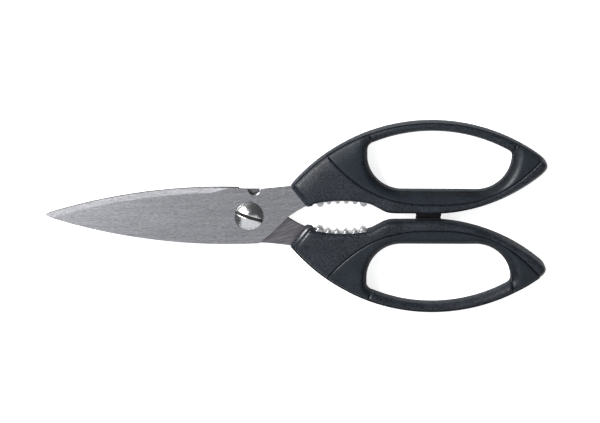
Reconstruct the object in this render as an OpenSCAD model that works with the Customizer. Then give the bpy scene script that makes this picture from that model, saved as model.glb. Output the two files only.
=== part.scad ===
// Poultry shears, lying closed on their back.
// The origin is on the pivot axis, at the surface the shears rest on.
// +X runs from the pivot to the handles, +Y to the handle of the front blade, +Z up.
// Each arm is drawn as the front arm, about the plane where the two blades meet:
// the rear arm is the same arm turned half a turn about the X axis.

/* [Blades] */
// Distance from the pivot to the blade tip
blade_reach = 85.4; // [80:0.1:90]
// Width across a blade at its widest
blade_w = 23.8; // [23:0.1:24.6]
// Thickness of the blade steel
blade_t = 2.6; // [2.2:0.1:2.8]
// Width of the ground bevel along the cutting edge
bevel_w = 2.0; // [1:0.1:2.4]
// Thickness left at the cutting edge
edge_land = 0.35; // [0.2:0.05:0.6]
// Radius of the bone notch beside the pivot
notch_r = 2.3; // [2:0.1:2.8]

/* [Pivot] */
// Diameter of the screw's head
head_d = 12.2; // [11:0.1:13]
// Height of the screw's domed head
head_h = 2.5; // [2:0.1:3]
// Diameter of the screw's shank, where both blades turn on it
shank_d = 7.0; // [6:0.1:7.4]
// Width of the driver slot
slot_w = 1.1; // [0.8:0.1:1.6]
// Direction of the driver slot, in degrees
slot_angle = -17.5; // [-90:0.5:90]
// Radial clearance between the shank and the front blade
running_clearance = 0.05; // [0.02:0.01:0.08]
// Diameter of the nut
nut_d = 11.4; // [10.6:0.1:12]

/* [Handles] */
// Thickness of a handle
handle_t = 12; // [12:0.1:13]
// Radius of the rounded outer edges of a handle
edge_round = 1.2; // [0.6:0.1:2]
// Thickness of the soft skin over the hard core
skin_t = 1.3; // [1:0.1:1.4]
// Width of the hard arc that closes the finger loop
loop_w = 3.8; // [3.4:0.1:4.4]
// Thickness of that arc
loop_t = 10.4; // [9:0.1:11]

/* [Nutcracker jaws] */
// Teeth on each jaw
tooth_count = 6; // [4:1:6]
// Distance from one tooth to the next
tooth_pitch = 3.64; // [3.2:0.01:3.7]
// Radius of a small tooth
tooth_r = 1.1; // [0.8:0.05:1.2]
// Radius of the first and last tooth
end_tooth_r = 1.9; // [1.2:0.05:2]
// Height of a jaw's toothed face
jaw_h = 8.4; // [7:0.1:9]

/* [Stops] */
// Length of a stop pad
pad_l = 10.6; // [8:0.1:12]
// Gap between the two pads when the shears are closed
pad_gap = 0.1; // [0.05:0.05:0.3]

/* [Hidden] */

eps = 0.01;

// Gap between the two flat blade faces, and under the screw's head
sliding_gap = 0.1;
head_gap = 0.05;
// Height of the plane where the blades meet
meet_z = handle_t / 2;
// Faces of a blade, measured from the meeting plane
blade_z0 = sliding_gap / 2;
blade_z1 = blade_z0 + blade_t;

// Blade outline: two equal arcs that meet beyond the blunted tip
belly_x = -10;
belly_y = blade_w / 2;
tip_blunt = 0.9;
tip_run = blade_reach + belly_x + tip_blunt;
edge_r = (tip_run * tip_run + belly_y * belly_y) / (2 * belly_y);
// The ground blade ends here, and the full-thickness shank begins
bevel_end_x = -9;
// Small step down in the edge, ahead of the notch
step_x = -4.2;
// Back of the rear blade beside the pivot, stepped down so that the notch stays open
rear_back_y = 11.15;
notch_at = [2.1, 11.4];
// Holes that the handle moulding flows through
tang_holes = [[27.8, 15.2], [36, 14.6]];
tang_hole_r = 2.1;

// Pivot stack, downwards from the meeting plane
washer_t = 0.5;
washer_r = 5.2;
thread_r = 2.5;
thread_clearance = 0.05;
nut_t = handle_t / 2 - blade_z1 - washer_t;
nut_floor = 0.9;
nut_chamfer = 0.8;
spanner_r = 0.8;
spanner_at = 3.6;
slot_depth = 1.3;

// Handle outline: the outer arc, the arc of the tail, and the arc over the nutcracker gap
outer_c = [76.7, -37.1];
outer_r = 77.4;
tail_c = [75.8, 74.5];
tail_r = 73;
tail_end_x = 124.75;
gap_c = [39.4, -50.2];
gap_r = 57;
gap_x = [26.8, 50.8];
inner_y = 1.65;
bolster_a = [15.7, 14.55];
bolster_b = [23.9, 4.4];

// Finger hole: two corner arcs joined by a straight base, under the arc of the loop
hole_base_y = 11.3;
hole_front_r = 14.5;
hole_rear_r = 15.1;
hole_front_c = [64, hole_base_y + hole_front_r];
hole_rear_c = [95, hole_base_y + hole_rear_r];
loop_r = 66.3;
loop_c = [76.8, outer_c[1] + outer_r - loop_w - loop_r];

// Parting line between the hard handle and the soft grip
part_x0 = 78;
part_y0 = 5.4;
part_run = 45.3;
part_rise = 20.4;
part_power = 2.6;
// Ends of the loop's hard arc, where it meets the grip: inner and outer end of each seam
seam_front = [[51.6, 30.6], [49.3, 37.5]];
seam_rear = [[110.2, 27], [112.4, 33.5]];

// Jaw section
jaw_depth = 2.4;
jaw_root = 1.2;
jaw_root_h = jaw_h + 1.4;
jaw_mid_x = 38.9;
jaw_x = [28, 50];

pad_mid_x = 75.3;
pad_h = 6.8;
pad_depth = 3.6;
pad_round = 0.8;

// Points along an arc
function arc(c, r, a0, a1, n) =
    [for (i = [0 : n]) let (a = a0 + (a1 - a0) * i / n) c + r * [cos(a), sin(a)]];

// Height of a circle's upper half at x
function arc_y(c, r, x) = c[1] + sqrt(r * r - (x - c[0]) * (x - c[0]));

// Angle of the point on a circle's upper half at x
function arc_a(c, r, x) = acos((x - c[0]) / r);

// Height of the parting line at x
function part_y(x) = part_y0 + part_rise * pow(abs(x - part_x0) / part_run, part_power);

// Angle at which a corner arc of the finger hole crosses the loop's arc, found by halving
function cross_angle(c, r, top_r, inside, outside, n = 24) =
    let (mid = (inside + outside) / 2, p = c + r * [cos(mid), sin(mid)])
    n == 0 ? mid
    : norm(p - loop_c) < top_r ? cross_angle(c, r, top_r, mid, outside, n - 1)
    : cross_angle(c, r, top_r, inside, mid, n - 1);

// Outline of the finger hole, widened all round by grow
function finger_hole(grow) =
    let (
        front_r = hole_front_r + grow,
        rear_r = hole_rear_r + grow,
        top_r = loop_r + grow,
        rear_a = cross_angle(hole_rear_c, rear_r, top_r, -45, 90),
        front_x = hole_front_c[0] - front_r,
        rear_x = hole_rear_c[0] + rear_r * cos(rear_a)
    )
    concat(
        arc(hole_front_c, front_r, 180, 270, 12),
        arc(hole_rear_c, rear_r, 270, 360 + rear_a, 12),
        arc(loop_c, top_r, arc_a(loop_c, top_r, rear_x), arc_a(loop_c, top_r, front_x), 20)
    );

// Zone of the soft grip, from the parting line to beyond the handle's outer edge
part_x = [32, 122.4];
grip_zone = concat(
    [[part_x[0] - 6, 34]],
    [for (i = [0 : 24]) let (x = part_x[0] + (part_x[1] - part_x[0]) * i / 24) [x, part_y(x)]],
    [[part_x[1] + 4, 33], seam_rear[1], seam_rear[0], hole_rear_c, hole_front_c, seam_front[0], seam_front[1]]
);
// Zone of the hard arc, inside which the handle is thinner
loop_zone = [seam_front[1], seam_front[0], hole_front_c, hole_rear_c, seam_rear[0], seam_rear[1], [80, 60]];

// Front part of the handle, from the bolster to where the tail's arc takes over
handle_front_outline = concat(
    [bolster_a, bolster_b, bolster_b + [0.7, -0.1], [gap_x[0], bolster_b[1] + 0.25]],
    arc(gap_c, gap_r, arc_a(gap_c, gap_r, gap_x[0]), arc_a(gap_c, gap_r, gap_x[1]), 16),
    [[57.2, inner_y + 0.5], [59.5, inner_y], [74, inner_y], [74, 50], [10, 50], [10, 20]]
);

// Shanks from the end of the bevel: back, crossing edge and the edge beside the nutcracker gap
front_back = [[bevel_end_x - eps, -belly_y], [-2, -11.8], [4.2, -11.5], [9.2, -7.3], [13.4, -3.4]];
front_gap_edge = [[16.4, -0.2], [20.3, 2.5], [24.2, 4.6]];
rear_back = [
    [bevel_end_x - eps, -belly_y], [step_x, 0.3 - belly_y], [step_x + 0.15, -rear_back_y],
    [4.6, -rear_back_y], [8.4, -7.6], [12.5, -3.3]
];
rear_gap_edge = [[15.7, 0.5], [20.3, 3.3], [24.2, 5.1]];
// Tang in the handle, and the edge back past the notch to the blade
tang_and_edge = [
    [26.8, 8.8], [30, 10.4], [45, 10.4], [43.6, 12], [34, 20.4], [31, 21.4], [27.5, 20.9],
    [17.8, 12.75], [13, 12.2], [7, 11.6], [step_x + 0.3, 11.65], [step_x, belly_y - 0.07],
    [bevel_end_x - eps, belly_y]
];
front_shank = concat(front_back, front_gap_edge, tang_and_edge);
rear_shank = concat(rear_back, rear_gap_edge, tang_and_edge);

// Places a part of the front arm, drawn about the meeting plane
module front_arm() {
    translate([0, 0, meet_z]) children();
}

// Places the same part on the rear arm
module rear_arm() {
    translate([0, 0, meet_z]) rotate([180, 0, 0]) children();
}

// Solid disc with rounded rims, centred on the meeting plane
module rounded_disc(r, t, e) {
    rotate_extrude($fn = 240)
        polygon(concat(
            [[0, -t / 2]],
            arc([r - e, -t / 2 + e], e, -90, 0, 5),
            arc([r - e, t / 2 - e], e, 0, 90, 5),
            [[0, t / 2]]
        ));
}

// Ground part of a blade: flat inside, bevelled to the cutting edge outside
module blade_lens() {
    intersection() {
        translate([belly_x, belly_y - edge_r, blade_z0]) {
            cylinder(h = edge_land, r = edge_r, $fn = 720);
            translate([0, 0, edge_land - eps])
                cylinder(h = blade_t - edge_land + eps, r1 = edge_r, r2 = edge_r - bevel_w, $fn = 720);
        }
        translate([belly_x, edge_r - belly_y, blade_z0 - 1])
            cylinder(h = blade_t + 2, r = edge_r, $fn = 720);
        translate([-blade_reach, -blade_w, 0])
            cube([blade_reach + bevel_end_x, 2 * blade_w, blade_t + 2]);
    }
}

// Flat shank and tang, with the holes that lock the tang in the handle
module shank(outline) {
    difference() {
        translate([0, 0, blade_z0]) linear_extrude(blade_t) polygon(outline);
        for (at = tang_holes)
            translate([at[0], at[1], -1]) cylinder(h = blade_t + 3, r = tang_hole_r, $fn = 32);
    }
}

module blade_blank(outline, bore_r) {
    difference() {
        union() {
            blade_lens();
            shank(outline);
        }
        translate([0, 0, -1]) cylinder(h = blade_t + 3, r = bore_r, $fn = 64);
    }
}

module front_blade() {
    color("silver")
        front_arm()
            difference() {
                blade_blank(front_shank, shank_d / 2 + running_clearance);
                translate([notch_at[0], notch_at[1], -1])
                    cylinder(h = blade_t + 3, r = notch_r, $fn = 48);
            }
}

module rear_blade() {
    color("darkgray") rear_arm() blade_blank(rear_shank, shank_d / 2);
}

// Slotted screw: domed head, shouldered shank and threaded end
module pivot_screw() {
    head_z = blade_z1 + head_gap;
    head_r = head_d / 2;
    dome_r = (head_r * head_r + head_h * head_h) / (2 * head_h);
    color("gainsboro")
        front_arm()
            difference() {
                union() {
                    intersection() {
                        translate([0, 0, head_z + head_h - dome_r]) sphere(r = dome_r, $fn = 96);
                        translate([0, 0, head_z]) cylinder(h = head_h + 1, r = head_r - eps, $fn = 96);
                    }
                    translate([0, 0, -blade_z1]) cylinder(h = head_z + blade_z1 + 0.4, r = shank_d / 2, $fn = 64);
                    translate([0, 0, nut_floor - meet_z])
                        cylinder(h = meet_z - nut_floor - blade_z1 + eps, r = thread_r, $fn = 48);
                }
                rotate([0, 0, slot_angle])
                    translate([-head_r, -slot_w / 2, head_z + head_h - slot_depth])
                        cube([head_d, slot_w, slot_depth + 1]);
            }
}

module spring_washer() {
    color("gray")
        translate([0, 0, nut_t])
            difference() {
                cylinder(h = washer_t, r = washer_r, $fn = 64);
                translate([0, 0, -1])
                    cylinder(h = washer_t + 2, r = thread_r + thread_clearance, $fn = 48);
            }
}

// Round nut with two spanner holes, closed underneath
module pivot_nut() {
    color("gray")
        difference() {
            rotate_extrude($fn = 96)
                polygon([
                    [0, 0], [nut_d / 2 - nut_chamfer, 0], [nut_d / 2, nut_chamfer], [nut_d / 2, nut_t], [0, nut_t]
                ]);
            translate([0, 0, nut_floor]) cylinder(h = nut_t, r = thread_r, $fn = 48);
            for (side = [-1, 1])
                translate([side * spanner_at, 0, -1]) cylinder(h = 1.6, r = spanner_r, $fn = 32);
        }
}

// Outer form of a handle, or, with a thickness taken off all round, of its core
module handle_form(off = 0) {
    intersection() {
        translate([outer_c[0], outer_c[1], 0]) rounded_disc(outer_r - off, handle_t - 2 * off, edge_round);
        union() {
            translate([tail_c[0], tail_c[1], 0]) rounded_disc(tail_r - off, handle_t - 2 * off, edge_round);
            translate([0, 0, off - handle_t / 2])
                linear_extrude(handle_t - 2 * off) polygon(handle_front_outline);
        }
        translate([0, -10, -handle_t]) cube([tail_end_x - off, 80, 2 * handle_t]);
    }
}

// Tall prism through a handle
module through(points) {
    translate([0, 0, -handle_t]) linear_extrude(2 * handle_t) polygon(points);
}

// Hard core that the soft skin is moulded over
module grip_core() {
    difference() {
        intersection() {
            handle_form(skin_t);
            through(grip_zone);
        }
        through(finger_hole(skin_t));
    }
}

// Hard moulding: bolster, front panel, inner bar, tail and the arc over the finger hole.
// The tang of the shank with this outline is set into it.
module hard_handle(shank_outline) {
    difference() {
        handle_form();
        through(grip_zone);
        through(finger_hole(0));
        for (side = [-1, 1])
            translate([0, 0, side * (loop_t / 2 + handle_t) - handle_t])
                linear_extrude(2 * handle_t) polygon(loop_zone);
        shank(shank_outline);
        jaw_bar();
        stop_pad();
    }
    grip_core();
}

// Soft C-shaped skin around the core
module soft_grip() {
    difference() {
        intersection() {
            handle_form();
            through(grip_zone);
        }
        through(finger_hole(0));
        grip_core();
    }
}

// Curved bar of a jaw, with a wider root that locks it in the handle
module jaw_bar() {
    a0 = arc_a(gap_c, gap_r, jaw_x[1]);
    a1 = arc_a(gap_c, gap_r, jaw_x[0]);
    inner = arc(gap_c, gap_r - eps, a0, a1, 14);
    outer = arc(gap_c, gap_r + jaw_depth, a1, a0, 14);
    root = arc(gap_c, gap_r + jaw_depth - jaw_root, a0, a1, 14);
    translate([0, 0, -jaw_h / 2]) linear_extrude(jaw_h) polygon(concat(inner, outer));
    translate([0, 0, -jaw_root_h / 2]) linear_extrude(jaw_root_h) polygon(concat(root, outer));
}

module jaw() {
    last = tooth_count - 1;
    jaw_bar();
    intersection() {
        for (i = [0 : last]) {
            x = jaw_mid_x + (i - last / 2) * tooth_pitch;
            r = i == 0 || i == last ? end_tooth_r : tooth_r;
            translate([x, arc_y(gap_c, gap_r, x), -jaw_h / 2]) cylinder(h = jaw_h, r = r, $fn = 24);
        }
        translate([gap_c[0], gap_c[1], -jaw_h]) cylinder(h = 2 * jaw_h, r = gap_r + 0.6, $fn = 240);
    }
}

// Rubber pad let into the inner edge of a handle
module stop_pad() {
    x0 = pad_mid_x - pad_l / 2;
    x1 = pad_mid_x + pad_l / 2;
    translate([0, 0, -pad_h / 2])
        linear_extrude(pad_h)
            polygon(concat(
                arc([x0 + pad_round, pad_gap / 2 + pad_round], pad_round, 180, 270, 5),
                arc([x1 - pad_round, pad_gap / 2 + pad_round], pad_round, 270, 360, 5),
                [[x1, pad_depth], [x0, pad_depth]]
            ));
}

module upper_handle() {
    color([0.16, 0.18, 0.22]) front_arm() hard_handle(front_shank);
}

module lower_handle() {
    color([0.16, 0.18, 0.22]) rear_arm() hard_handle(rear_shank);
}

module upper_grip() {
    color([0.10, 0.12, 0.16]) front_arm() soft_grip();
}

module lower_grip() {
    color([0.10, 0.12, 0.16]) rear_arm() soft_grip();
}

module upper_jaw() {
    color("lightgray") front_arm() jaw();
}

module lower_jaw() {
    color("lightgray") rear_arm() jaw();
}

module upper_stop_pad() {
    color([0.08, 0.08, 0.09]) front_arm() stop_pad();
}

module lower_stop_pad() {
    color([0.08, 0.08, 0.09]) rear_arm() stop_pad();
}

front_blade();
rear_blade();
pivot_screw();
spring_washer();
pivot_nut();
upper_handle();
lower_handle();
upper_grip();
lower_grip();
upper_jaw();
lower_jaw();
upper_stop_pad();
lower_stop_pad();
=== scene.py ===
"""Looks for a pair of poultry shears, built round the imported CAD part.

Every piece is a closed mesh drawn in millimetres about the plane where the two blades meet,
in the front arm's own frame. The rear arm is the front arm turned half a turn about X.
Most pieces are plates: a flat outline, filled with triangles, whose top and bottom follow a
height that depends on how far a point is from the piece's edges.
"""
import math

import bmesh
import bpy
import numpy as np
from mathutils import Matrix, Vector, kdtree
from mathutils.geometry import delaunay_2d_cdt


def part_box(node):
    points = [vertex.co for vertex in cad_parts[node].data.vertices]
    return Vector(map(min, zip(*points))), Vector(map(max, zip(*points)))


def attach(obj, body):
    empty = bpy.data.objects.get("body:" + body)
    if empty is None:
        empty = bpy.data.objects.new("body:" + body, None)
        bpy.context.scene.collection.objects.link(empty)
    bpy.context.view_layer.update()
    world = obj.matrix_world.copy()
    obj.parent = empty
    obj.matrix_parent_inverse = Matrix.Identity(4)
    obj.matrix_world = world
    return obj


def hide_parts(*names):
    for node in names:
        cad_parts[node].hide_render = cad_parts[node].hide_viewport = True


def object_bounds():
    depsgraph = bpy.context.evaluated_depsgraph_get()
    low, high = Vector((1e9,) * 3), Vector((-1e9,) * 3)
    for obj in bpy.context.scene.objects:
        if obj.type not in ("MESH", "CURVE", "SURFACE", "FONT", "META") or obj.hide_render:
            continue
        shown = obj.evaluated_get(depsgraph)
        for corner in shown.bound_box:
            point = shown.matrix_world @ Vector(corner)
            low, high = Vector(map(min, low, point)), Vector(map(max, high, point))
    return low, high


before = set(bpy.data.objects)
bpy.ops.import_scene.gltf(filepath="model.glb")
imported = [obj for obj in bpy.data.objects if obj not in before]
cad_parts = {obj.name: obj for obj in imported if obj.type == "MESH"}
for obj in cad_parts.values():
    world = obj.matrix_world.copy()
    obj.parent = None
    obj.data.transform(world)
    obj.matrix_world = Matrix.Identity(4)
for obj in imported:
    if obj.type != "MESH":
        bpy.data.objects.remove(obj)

MM = 0.001
CAD_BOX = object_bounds()


def cad(node):
    """Lowest and highest corner of a CAD node in millimetres."""
    lo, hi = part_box(node)
    return np.array(lo) / MM, np.array(hi) / MM


# ---------------------------------------------------------------- sizes, in millimetres

HANDLE_LO, HANDLE_HI = cad("upper_handle")
HANDLE_T = HANDLE_HI[2] - HANDLE_LO[2]
MEET_Z = HANDLE_T / 2

# Blades. The cutting edge is one arc, widest at BELLY, and its mirror image is the lower edge
BLADE_LO, BLADE_HI = cad("front_blade")
BLADE_Z0 = BLADE_LO[2] - MEET_Z
BLADE_Z1 = BLADE_HI[2] - MEET_Z
BLADE_TIP_X = BLADE_LO[0]
BELLY = (-10.0, 11.9)
TIP_OVERRUN = 0.9
TIP_RUN = BELLY[0] - BLADE_TIP_X + TIP_OVERRUN
EDGE_R = (TIP_RUN ** 2 + BELLY[1] ** 2) / (2 * BELLY[1])
EDGE_STEP_X = -4.2
BEVEL_W = 2.0
BEVEL_FADE_X, BEVEL_END_X = -17.0, -7.5
EDGE_LAND = 0.35
NOTCH_C = (2.1, 11.4)
NOTCH_R = 2.3
NOTCH_CHAMFER = (0.30, 0.20)
BROKEN_EDGE = ((0, 0.05, 0.14), (0.14, 0.05, 0))
TANG_HOLES = ((27.8, 15.2), (36.0, 14.6))
TANG_HOLE_R = 2.1
TANG = [(26.8, 8.8), (30, 10.4), (45, 10.4), (43.6, 12), (34, 20.4), (31, 21.4), (27.5, 20.9)]
REAR_BACK_Y = 11.15

# Pivot. SAME_R is how far off a circle a point may lie and still count as on it
SHANK_D = 7.0
SHANK_CLEARANCE = 0.05
THREAD_R = 2.5
HEAD_GAP = 0.05
SAME_R = 0.01

# Handle outline: arcs, each a centre and a radius, and the corners between them
OUTER_C, OUTER_R = (76.7, -37.1), 77.39
TAIL_C, TAIL_R = (75.8, 74.5), 73.0
TAIL_TIP_X = HANDLE_HI[0]
GAP_C, GAP_R = (39.4, -50.2), 57.0
INNER_Y = 1.65
BOLSTER_TOP = (17.32, 12.545)
BOLSTER_FOOT = (23.9, 4.4)
LIP = (26.8, 4.65)
GAP_END = (50.8, 5.65)
BAR_BEND = (57.2, INNER_Y + 0.5)
BAR_START = (59.5, INNER_Y)
TAIL_TIP_RUN = 3.15

# Finger hole
FRONT_CORNER, FRONT_CORNER_R = (64.0, 25.8), 14.5
REAR_CORNER, REAR_CORNER_R = (95.0, 26.4), 15.1
LOOP_C, LOOP_R = (76.8, -29.8), 66.3

# Parting line between hard handle and soft grip: a bow, lowest at its middle
PART_X = (32, 122.4)
PART_MID_X, PART_LOW_Y = 78, 5.4
PART_RISE, PART_HALF, PART_POWER = 20.4, 45.3, 2.6
PART_ENDS = ((26, 34), (126.4, 33))

# The soft skin over the core, how far the loop's hard arc lies below it, and the seams where they
# meet. Near a seam the skin's face blends into the form of the arc.
SKIN_T = 1.3
LOOP_DROP = 0.8
SEAM_FRONT = ((51.6, 30.6), (49.3, 37.5))
SEAM_REAR = ((110.2, 27.0), (112.4, 33.5))
GROOVE = 0.14
SEAM_GAP = 0.03
SEAM_BLEND = 5.0

# Spacing of the points along an outline, and of the same outline while its corners are rounded
STEP = 0.45
FINE_STEP = 0.1
HANDLE_SPACING = 1.3

# Tolerances: for a row beside an edge, for a point on a seam, and for a row on a seam's far side
ROW_SLACK = 0.012
ON_LINE = 0.02
JUST_ACROSS = -0.04

# How far wear reaches from the edges and seams, and where the bolster's smooth end gives way to grain
EDGE_WEAR, SEAM_WEAR = 0.7, 0.35
BOLSTER_SMOOTH, BOLSTER_GRAINED = 2.2, 3.0


# ---------------------------------------------------------------- plane geometry

def arc(c, r, a0, a1, step=STEP):
    """Points along an arc, from angle a0 to a1 in degrees."""
    n = max(3, math.ceil(abs(math.radians(a1 - a0)) * r / step))
    a = np.radians(np.linspace(a0, a1, n + 1))
    return np.column_stack([c[0] + r * np.cos(a), c[1] + r * np.sin(a)])


def upper_angle(c, r, x):
    """Angle of the point on a circle's upper half at x."""
    return math.degrees(math.acos((x - c[0]) / r))


def resample(line, step, closed=False):
    """The same line with its points evenly spaced."""
    line = np.asarray(line, float)
    if closed:
        line = np.vstack([line, line[:1]])
    s = np.concatenate([[0], np.cumsum(np.linalg.norm(np.diff(line, axis=0), axis=1))])
    n = max(2, round(s[-1] / step))
    at = np.linspace(0, s[-1], n + 1)
    out = np.column_stack([np.interp(at, s, line[:, k]) for k in (0, 1)])
    return out[:-1] if closed else out


def soften(loop, corner, reach):
    """Rounds a closed loop's corner: a smooth curve takes over within reach of it."""
    nearest = np.linalg.norm(loop - np.array(corner), axis=1).argmin()
    loop = np.roll(loop, len(loop) // 2 - nearest, axis=0)
    m = len(loop) // 2
    s = np.concatenate([[0], np.cumsum(np.linalg.norm(np.diff(loop, axis=0), axis=1))])
    i = np.searchsorted(s, s[m] - reach)
    j = np.searchsorted(s, s[m] + reach)
    t = np.linspace(0, 1, 12)[:, None]
    curve = (1 - t) ** 2 * loop[i] + 2 * t * (1 - t) * loop[m] + t ** 2 * loop[j]
    return np.vstack([loop[:i], curve, loop[j + 1:]])


def offset(line, distance, closed=False):
    """The line moved to its left by distance."""
    if closed:
        ahead, behind = np.roll(line, -1, axis=0), np.roll(line, 1, axis=0)
    else:
        ahead, behind = np.vstack([line[1:], line[-1:]]), np.vstack([line[:1], line[:-1]])
    along = ahead - behind
    along /= np.linalg.norm(along, axis=1)[:, None]
    return line + distance * np.column_stack([-along[:, 1], along[:, 0]])


def gap_to(points, line, closed=False):
    """Distance from each point to a line."""
    a = line if closed else line[:-1]
    b = np.roll(line, -1, axis=0) if closed else line[1:]
    ab = b - a
    length2 = np.maximum((ab ** 2).sum(1), 1e-12)
    out = np.empty(len(points))
    batch = 1500
    for k in range(0, len(points), batch):
        ap = points[k:k + batch, None, :] - a
        t = np.clip((ap * ab).sum(-1) / length2, 0, 1)
        out[k:k + batch] = np.sqrt(((ap - t[..., None] * ab) ** 2).sum(-1)).min(1)
    return out


def inside(points, loop):
    """Which points lie inside a closed loop."""
    a, b = loop, np.roll(loop, -1, axis=0)
    found = np.zeros(len(points), bool)
    for (x0, y0), (x1, y1) in zip(a, b):
        if y0 != y1:
            crosses = (points[:, 1] < y0) != (points[:, 1] < y1)
            found ^= crosses & (points[:, 0] < x0 + (points[:, 1] - y0) * (x1 - x0) / (y1 - y0))
    return found


def rows(line, distances, source, closed=False):
    """Lines beside a line, cut away where another part of the source's edge comes nearer.
    A distance is one number, or one for each point of the line."""
    out = []
    for d in distances:
        moved = offset(line, np.reshape(d, (-1, 1)), closed)
        good = gap_to(moved, source, True) > np.abs(d) - ROW_SLACK
        if closed and good.all():
            out.append(np.vstack([moved, moved[:1]]))
            continue
        if closed:
            first = int(np.argmin(good))
            moved, good = np.roll(moved, -first, axis=0), np.roll(good, -first)
        run = []
        for p, ok in zip(moved, good):
            if ok:
                run.append(p)
            elif run:
                out.append(np.array(run))
                run = []
        if run:
            out.append(np.array(run))
    return [r for r in out if len(r) > 1]


def fillet(d, width, depth):
    """Drop of an elliptic rounding, at distance d from the edge."""
    t = np.clip(d / width, 0, 1)
    return depth * (1 - np.sqrt(np.maximum(0, 1 - (1 - t) ** 2)))


def smooth(t):
    """Rises from 0 to 1 as t does, level at both ends."""
    t = np.clip(t, 0, 1)
    return t * t * (3 - 2 * t)


# ---------------------------------------------------------------- meshes

def plate(loops, lines, spacing, keep, top, bottom, mark=None):
    """A closed mesh between two heights over a flat region.
    loops and lines are creases that the triangles follow, keep says which points are in the
    region, and top and bottom give the heights. mark gives a value that the material can read."""
    points, edges = [], []
    for line, closed in [(x, True) for x in loops] + [(x, False) for x in lines]:
        first = len(points)
        points.extend(line.tolist())
        edges.extend((first + i, first + i + 1) for i in range(len(line) - 1))
        if closed:
            edges.append((first + len(line) - 1, first))
    tree = kdtree.KDTree(len(points))
    for i, p in enumerate(points):
        tree.insert((p[0], p[1], 0), i)
    tree.balance()
    lo, hi = np.min(points, axis=0), np.max(points, axis=0)
    row_height, clear = 0.866 * spacing, 0.6 * spacing
    xs, ys = np.arange(lo[0], hi[0], spacing), np.arange(lo[1], hi[1], row_height)
    grid = np.array([(x + (j % 2) * spacing / 2, y) for j, y in enumerate(ys) for x in xs])
    grid = grid[keep(grid)]
    points.extend(p for p in grid.tolist() if tree.find((p[0], p[1], 0))[2] > clear)

    made = delaunay_2d_cdt([Vector(p) for p in points], edges, [], 0, 1e-5, False)
    flat = np.array([tuple(v) for v in made[0]])
    faces = np.array([f for f in made[2] if len(f) == 3])
    faces = faces[keep(flat[faces].mean(1))]
    used, faces = np.unique(faces, return_inverse=True)
    flat, faces = flat[used], faces.reshape(-1, 3)
    n = len(flat)

    sides = np.vstack([faces[:, [0, 1]], faces[:, [1, 2]], faces[:, [2, 0]]])
    seen = {tuple(e) for e in sides.tolist()}
    rim = [e for e in seen if (e[1], e[0]) not in seen]
    walls = [(i + n, j + n, j, i) for i, j in sorted(rim)]
    verts = np.vstack([
        np.column_stack([flat, top(flat)]),
        np.column_stack([flat, bottom(flat)]),
    ]) * MM
    mesh = bpy.data.meshes.new("plate")
    mesh.from_pydata(verts.tolist(), [], faces.tolist() + (faces[:, ::-1] + n).tolist() + walls)
    if mark is not None:
        values = mesh.attributes.new("mark", "FLOAT", "POINT")
        values.data.foreach_set("value", np.tile(mark(flat), 2).astype(np.float32))
    mesh.validate()
    return mesh


def finish_mesh(mesh, sharp=34):
    """Smooth shading that keeps the edges sharper than an angle in degrees."""
    mesh.shade_smooth()
    mesh.set_sharp_from_angle(angle=math.radians(sharp))
    mesh.update()


def cut(mesh, tools):
    """The mesh with other meshes taken away from it."""
    body = bpy.data.objects.new("cut_body", mesh)
    bpy.context.scene.collection.objects.link(body)
    made = []
    for tool in tools:
        other = bpy.data.objects.new("cut_tool", tool)
        bpy.context.scene.collection.objects.link(other)
        step = body.modifiers.new("cut", "BOOLEAN")
        step.operation, step.solver, step.object = "DIFFERENCE", "EXACT", other
        made.append(other)
    bpy.context.view_layer.update()
    evaluated = body.evaluated_get(bpy.context.evaluated_depsgraph_get())
    result = bpy.data.meshes.new_from_object(evaluated)
    for o in made + [body]:
        bpy.data.objects.remove(o)
    drop_slivers(result)
    return result


def drop_slivers(mesh):
    """Closes up the needle-thin triangles that a cut leaves, and takes away loose slivers."""
    thinnest_m, fewest_points = 2e-6, 100
    work = bmesh.new()
    work.from_mesh(mesh)
    bmesh.ops.dissolve_degenerate(work, dist=thinnest_m, edges=work.edges)
    bmesh.ops.triangulate(work, faces=[f for f in work.faces if len(f.verts) > 4])
    seen, stray = set(), []
    for start in work.verts:
        if start in seen:
            continue
        seen.add(start)
        island = [start]
        for v in island:  # the list grows as the loop goes along it
            near = [e.other_vert(v) for e in v.link_edges]
            near = [n for n in near if n not in seen]
            seen.update(near)
            island += near
        if len(island) < fewest_points:
            stray += island
    bmesh.ops.delete(work, geom=stray, context="VERTS")
    work.to_mesh(mesh)
    work.free()


# ---------------------------------------------------------------- the handle's lines

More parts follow.
